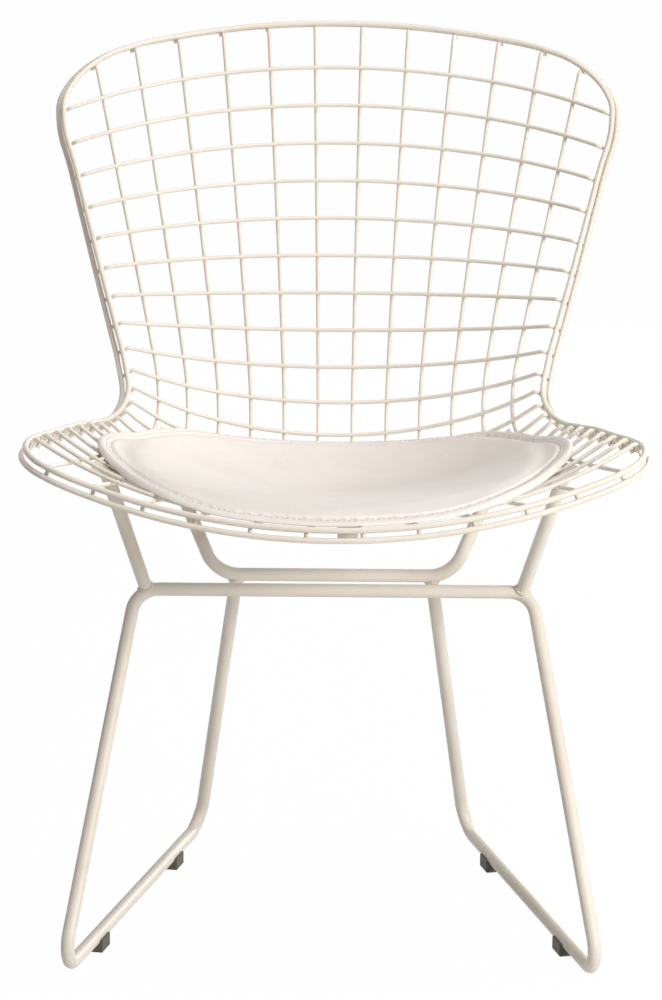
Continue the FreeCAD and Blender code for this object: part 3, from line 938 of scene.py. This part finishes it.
def seen_directly(nodes):
    """1 for camera, glossy and transmission rays, which see the background, and 0 for the light itself."""
    camera, glossy, through = (nodes.add("ShaderNodeLightPath", {}, {}, ray) for ray in
                               ("Is Camera Ray", "Is Glossy Ray", "Is Transmission Ray"))
    return camera.math("MAXIMUM", glossy).math("MAXIMUM", through)


def light_world(ambient):
    """Even light from all round, and plain white where the world itself is seen."""
    world = bpy.data.worlds.new("Studio")
    bpy.context.scene.world = world
    world.use_nodes = True
    nodes = Nodes(world.node_tree)
    lighting = nodes.add("ShaderNodeBackground", {}, {"Color": opaque(AMBIENT_COLOUR), "Strength": ambient})
    backdrop = nodes.add("ShaderNodeBackground", {}, {"Color": (1.0, 1.0, 1.0, 1.0)})
    mixed = nodes.add("ShaderNodeMixShader", {}, {0: seen_directly(nodes), 1: lighting, 2: backdrop})
    nodes.fill(nodes.tree.nodes["World Output"], {"Surface": mixed})


def floor_material(white_share):
    """Pale floor that renders almost white and still keeps some of the chair's shadow."""
    finish = Finish("Studio floor")
    finish.set(Base_Color=opaque(FLOOR_COLOUR), Roughness=0.9)
    pale = Socket(finish.tree, finish.tree.nodes["Principled BSDF"].outputs[0])
    white = finish.add("ShaderNodeEmission", {}, {})
    share = seen_directly(finish) * white_share
    mixed = finish.add("ShaderNodeMixShader", {}, {0: share, 1: pale, 2: white})
    finish.fill(finish.tree.nodes["Material Output"], {"Surface": mixed})
    return finish.material


def add_floor(white_share):
    """Wide level floor at the height of the glides' soles."""
    ground = bmesh.new()
    bmesh.ops.create_grid(ground, x_segments=1, y_segments=1, size=FLOOR_HALF_WIDTH)
    mesh = bpy.data.meshes.new("studio_floor")
    ground.to_mesh(mesh)
    ground.free()
    mesh.materials.append(floor_material(white_share))
    floor = bpy.data.objects.new("studio_floor", mesh)
    bpy.context.collection.objects.link(floor)


def add_camera(settings):
    """Camera at the photograph's viewing angle, in front of the chair and looking slightly down."""
    lens = bpy.data.cameras.new("photo_camera")
    lens.sensor_width = 36.0
    lens.lens = settings.lens
    lens.clip_end = 60.0
    camera = bpy.data.objects.new("photo_camera", lens)
    camera.location = (0.0, -settings.distance, settings.height)
    turn = Matrix.Rotation(settings.yaw, 3, "Z") @ Matrix.Rotation(math.pi / 2 - settings.pitch, 3, "X")
    camera.rotation_euler = (turn @ Matrix.Rotation(settings.roll, 3, "Z")).to_euler()
    bpy.context.collection.objects.link(camera)
    bpy.context.scene.camera = camera


class CHAIR_OT_studio(bpy.types.Operator):
    """Set the floor, the lamps, the world and the camera"""
    bl_idname = "chair.studio"
    bl_label = "Set studio"

    def execute(self, context):
        settings = context.scene.chair_studio
        add_floor(settings.floor_white)
        for name, (place, size) in LAMPS.items():
            add_lamp(name + "_lamp", place, LIT_PLACE, size, getattr(settings, name))
        light_world(settings.ambient)
        add_camera(settings)
        context.scene.view_settings.view_transform = "Standard"
        return {"FINISHED"}


class CHAIR_PT_panel(bpy.types.Panel):
    """The chair's sizes and colours, and the steps that dress it in their order"""
    bl_label = "Wire mesh chair"
    bl_idname = "CHAIR_PT_panel"
    bl_space_type = "VIEW_3D"
    bl_region_type = "UI"
    bl_category = "Chair"

    def draw(self, context):
        for name, group in GROUPS.items():
            box = self.layout.box()
            for size_or_colour in group.__annotations__:
                box.prop(getattr(context.scene, name), size_or_colour)
        column = self.layout.column()
        for step in STEPS:
            column.operator(step.bl_idname)


STEPS = (CHAIR_OT_coat_wires, CHAIR_OT_finish_fittings, CHAIR_OT_weld_beads, CHAIR_OT_seat_pad,
         CHAIR_OT_straps, CHAIR_OT_studio)
GROUPS = {"chair_finishes": ChairFinishes, "chair_pad": SeatPadSizes, "chair_straps": StrapSizes,
          "chair_welds": WeldSizes, "chair_studio": StudioSettings}


def register():
    for made in (*GROUPS.values(), *STEPS, CHAIR_PT_panel):
        bpy.utils.register_class(made)
    for name, group in GROUPS.items():
        setattr(bpy.types.Scene, name, PointerProperty(type=group))


def unregister():
    for name in GROUPS:
        delattr(bpy.types.Scene, name)
    for made in (CHAIR_PT_panel, *reversed(STEPS), *GROUPS.values()):
        bpy.utils.unregister_class(made)


def main():
    register()
    bpy.ops.chair.coat_wires()
    bpy.ops.chair.finish_fittings()
    bpy.ops.chair.weld_beads()
    bpy.ops.chair.seat_pad()
    bpy.ops.chair.straps()
    bpy.ops.chair.studio()


if __name__ == "__main__":
    main()
